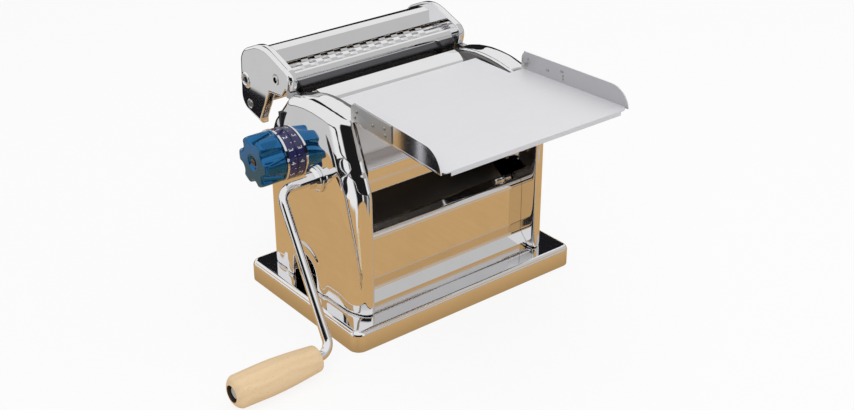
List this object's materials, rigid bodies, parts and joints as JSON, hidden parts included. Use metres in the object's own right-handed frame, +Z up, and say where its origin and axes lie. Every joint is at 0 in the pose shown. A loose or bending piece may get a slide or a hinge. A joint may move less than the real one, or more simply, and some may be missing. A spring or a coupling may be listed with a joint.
{
  "type": "pasta machine",
  "caption": "Table-top hand cranked pasta machine: chromed body with twin sheeting rollers, thickness knob, wooden crank, feed tray and lift-off double cutter.",
  "frame": {"origin": "middle of the base's footprint, on the table under the rubber feet", "axes": "+Z up; +X along the rollers, away from the crank; -Y to the front, where the tray stands out and the sheet leaves"},
  "size_m": [0.5367, 0.4182, 0.317],
  "materials": {
    "chrome": "mirror polished",
    "steel": "turned and ground",
    "bronze": "oiled bronze",
    "tray_steel": "satin stainless sheet",
    "rubber": "matte",
    "pointer": "black",
    "knob": "blue",
    "dial": "violet blue",
    "wood": "plain turned beech"
  },
  "bodies": {
    "frame": {"base_plinth": "chrome", "rubber_feet": "rubber", "left_housing": "chrome", "right_housing": "chrome", "left_bearing_plate": "steel", "right_bearing_plate": "steel", "front_panel": "chrome", "rear_panel": "chrome", "front_hood": "chrome", "top_plate": "chrome", "sheet_chute": "steel", "tie_rods": "steel", "front_roller_bushes": "bronze", "crank_bush": "chrome", "regulator_bushes": "bronze", "dial_pointer": "pointer", "base_bolts": "steel", "cutter_catches": "steel", "roller_scrapers": "steel"},
    "crank": {"drive_shaft": "chrome", "crank_pinion": "steel", "crank_arm": "chrome", "grip_nut": "steel"},
    "grip": {"crank_grip": "wood"},
    "front_roll": {"front_roller": "steel", "front_drive_gear": "steel", "front_pair_gear": "steel"},
    "slides": {"left_slide": "bronze", "right_slide": "bronze"},
    "rear_roll": {"rear_roller": "steel", "rear_pair_gear": "steel"},
    "regulator": {"regulator_knob": "knob", "knob_ring": "chrome", "dial_ring": "dial", "regulator_shaft": "steel", "regulator_cams": "steel", "knob_screw": "steel"},
    "tray": {"tray_sheet": "tray_steel", "tray_brackets": "tray_steel", "tray_rivets": "tray_steel"},
    "cutter_unit": {"left_cutter_cap": "chrome", "right_cutter_cap": "chrome", "cutter_ridge": "chrome", "front_cutter_cover": "chrome", "rear_cutter_cover": "chrome", "cutter_tie_rods": "steel", "cutter_bushes": "bronze"},
    "wide_front": {"wide_roll_front": "steel", "wide_gear_front": "steel"},
    "wide_rear": {"wide_roll_rear": "steel", "wide_gear_rear": "steel"},
    "narrow_front": {"narrow_roll_front": "steel", "narrow_gear_front": "steel"},
    "narrow_rear": {"narrow_roll_rear": "steel", "narrow_gear_rear": "steel"}
  },
  "joints": [
    {"name": "crank_spin", "type": "hinge", "parent": "frame", "child": "crank", "pos_m": [0, -0.014, 0.19109], "axis": [1, 0, 0], "continuous": true},
    {"name": "grip_spin", "type": "hinge", "parent": "crank", "child": "grip", "pos_m": [0, -0.12331, 0.02277], "axis": [1, 0, 0], "continuous": true},
    {"name": "front_roll_spin", "type": "hinge", "parent": "frame", "child": "front_roll", "pos_m": [0, -0.011, 0.239], "axis": [1, 0, 0], "continuous": true},
    {"name": "regulator_turn", "type": "hinge", "parent": "frame", "child": "regulator", "pos_m": [0, 0.059, 0.199], "axis": [-1, 0, 0], "range_deg": [0, 300]},
    {"name": "gap_slide", "type": "slide", "parent": "frame", "child": "slides", "axis": [0, -1, 0], "range_m": [0, 0.003]},
    {"name": "rear_roll_spin", "type": "hinge", "parent": "slides", "child": "rear_roll", "pos_m": [0, 0.0284, 0.239], "axis": [1, 0, 0], "continuous": true},
    {"name": "tray_lift", "type": "slide", "parent": "frame", "child": "tray", "axis": [0, 0, 1], "range_m": [0, 0.06]},
    {"name": "cutter_lift", "type": "slide", "parent": "frame", "child": "cutter_unit", "axis": [0, 0, 1], "range_m": [0, 0.06]},
    {"name": "wide_drive", "type": "hinge", "parent": "cutter_unit", "child": "wide_front", "pos_m": [0, 0.093, 0.282], "axis": [1, 0, 0], "continuous": true},
    {"name": "wide_follow", "type": "hinge", "parent": "cutter_unit", "child": "wide_rear", "pos_m": [0, 0.117, 0.282], "axis": [1, 0, 0], "continuous": true},
    {"name": "narrow_drive", "type": "hinge", "parent": "cutter_unit", "child": "narrow_rear", "pos_m": [0, 0.164, 0.2605], "axis": [1, 0, 0], "continuous": true},
    {"name": "narrow_follow", "type": "hinge", "parent": "cutter_unit", "child": "narrow_front", "pos_m": [0, 0.14, 0.2605], "axis": [1, 0, 0], "continuous": true}
  ],
  "couplings": [
    {"joint": "front_roll_spin", "follows": "crank_spin", "ratio": -0.71429},
    {"joint": "rear_roll_spin", "follows": "crank_spin", "ratio": 0.71429},
    {"joint": "regulator_turn", "follows": "gap_slide", "rad_per_m": 1745.3},
    {"joint": "wide_follow", "follows": "wide_drive", "ratio": -1},
    {"joint": "narrow_follow", "follows": "narrow_drive", "ratio": -1}
  ]
}
